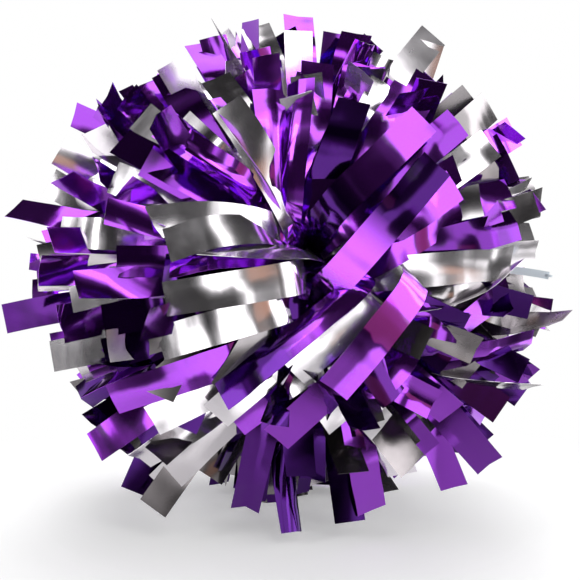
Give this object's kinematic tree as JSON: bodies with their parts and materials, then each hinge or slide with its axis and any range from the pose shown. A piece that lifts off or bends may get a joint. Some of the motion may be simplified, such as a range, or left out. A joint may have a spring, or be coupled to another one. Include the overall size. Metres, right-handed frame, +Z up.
{
  "type": "cheer pom pom",
  "caption": "Hand-held cheerleading pom pom: two round heads of glossy purple and silver film strands, tied on either end of a short baton grip that the hand closes round.",
  "frame": {"origin": "on the floor the pom pom lies on, under the middle of its grip, at the bottom centre of the bounding box", "axes": "+Z up; the grip runs level along Y with the front head at -Y; +X is across the pom pom, its widest way"},
  "size_m": [0.3556, 0.314, 0.3254],
  "materials": {
    "grip": "satin white moulded plastic",
    "plug": "satin white moulded plastic",
    "tie": "natural nylon, slightly translucent",
    "spine_film": "rolled purple metallised film",
    "purple_film": "purple metallised film, mirror bright and lightly creased",
    "silver_film": "silver metallised film, mirror bright and lightly creased"
  },
  "bodies": {
    "handle": {"grip_tube": "grip", "end_plug_front": "plug", "spine_roll_front": "spine_film", "cable_tie_front": "tie", "end_plug_rear": "plug", "spine_roll_rear": "spine_film", "cable_tie_rear": "tie"},
    "tuft_front_1": {"purple_tuft_front_1": "purple_film", "silver_tuft_front_1": "silver_film"},
    "tuft_front_2": {"purple_tuft_front_2": "purple_film", "silver_tuft_front_2": "silver_film"},
    "tuft_front_3": {"purple_tuft_front_3": "purple_film", "silver_tuft_front_3": "silver_film"},
    "tuft_front_4": {"purple_tuft_front_4": "purple_film", "silver_tuft_front_4": "silver_film"},
    "tuft_front_5": {"purple_tuft_front_5": "purple_film", "silver_tuft_front_5": "silver_film"},
    "tuft_front_6": {"purple_tuft_front_6": "purple_film", "silver_tuft_front_6": "silver_film"},
    "tuft_rear_1": {"purple_tuft_rear_1": "purple_film", "silver_tuft_rear_1": "silver_film"},
    "tuft_rear_2": {"purple_tuft_rear_2": "purple_film", "silver_tuft_rear_2": "silver_film"},
    "tuft_rear_3": {"purple_tuft_rear_3": "purple_film", "silver_tuft_rear_3": "silver_film"},
    "tuft_rear_4": {"purple_tuft_rear_4": "purple_film", "silver_tuft_rear_4": "silver_film"},
    "tuft_rear_5": {"purple_tuft_rear_5": "purple_film", "silver_tuft_rear_5": "silver_film"},
    "tuft_rear_6": {"purple_tuft_rear_6": "purple_film", "silver_tuft_rear_6": "silver_film"}
  },
  "joints": [
    {"name": "tuft_front_1_flex", "type": "hinge", "parent": "handle", "child": "tuft_front_1", "pos_m": [0, -0.05, 0.142], "axis": [-1, 0, 0], "range_deg": [-5, 12], "stiffness_Nm_per_rad": 0.5},
    {"name": "tuft_front_2_flex", "type": "hinge", "parent": "handle", "child": "tuft_front_2", "pos_m": [0.01386, -0.05, 0.15], "axis": [-0.5, 0, -0.866], "range_deg": [-5, 12], "stiffness_Nm_per_rad": 0.5},
    {"name": "tuft_front_3_flex", "type": "hinge", "parent": "handle", "child": "tuft_front_3", "pos_m": [0.01386, -0.05, 0.166], "axis": [0.5, 0, -0.866], "range_deg": [-5, 12], "stiffness_Nm_per_rad": 0.5},
    {"name": "tuft_front_4_flex", "type": "hinge", "parent": "handle", "child": "tuft_front_4", "pos_m": [0, -0.05, 0.174], "axis": [1, 0, 0], "range_deg": [-5, 12], "stiffness_Nm_per_rad": 0.5},
    {"name": "tuft_front_5_flex", "type": "hinge", "parent": "handle", "child": "tuft_front_5", "pos_m": [-0.01386, -0.05, 0.166], "axis": [0.5, 0, 0.866], "range_deg": [-5, 12], "stiffness_Nm_per_rad": 0.5},
    {"name": "tuft_front_6_flex", "type": "hinge", "parent": "handle", "child": "tuft_front_6", "pos_m": [-0.01386, -0.05, 0.15], "axis": [-0.5, 0, 0.866], "range_deg": [-5, 12], "stiffness_Nm_per_rad": 0.5},
    {"name": "tuft_rear_1_flex", "type": "hinge", "parent": "handle", "child": "tuft_rear_1", "pos_m": [0, 0.05, 0.142], "axis": [1, 0, 0], "range_deg": [-5, 12], "stiffness_Nm_per_rad": 0.5},
    {"name": "tuft_rear_2_flex", "type": "hinge", "parent": "handle", "child": "tuft_rear_2", "pos_m": [0.01386, 0.05, 0.15], "axis": [0.5, 0, 0.866], "range_deg": [-5, 12], "stiffness_Nm_per_rad": 0.5},
    {"name": "tuft_rear_3_flex", "type": "hinge", "parent": "handle", "child": "tuft_rear_3", "pos_m": [0.01386, 0.05, 0.166], "axis": [-0.5, 0, 0.866], "range_deg": [-5, 12], "stiffness_Nm_per_rad": 0.5},
    {"name": "tuft_rear_4_flex", "type": "hinge", "parent": "handle", "child": "tuft_rear_4", "pos_m": [0, 0.05, 0.174], "axis": [-1, 0, 0], "range_deg": [-5, 12], "stiffness_Nm_per_rad": 0.5},
    {"name": "tuft_rear_5_flex", "type": "hinge", "parent": "handle", "child": "tuft_rear_5", "pos_m": [-0.01386, 0.05, 0.166], "axis": [-0.5, 0, -0.866], "range_deg": [-5, 12], "stiffness_Nm_per_rad": 0.5},
    {"name": "tuft_rear_6_flex", "type": "hinge", "parent": "handle", "child": "tuft_rear_6", "pos_m": [-0.01386, 0.05, 0.15], "axis": [0.5, 0, -0.866], "range_deg": [-5, 12], "stiffness_Nm_per_rad": 0.5}
  ]
}
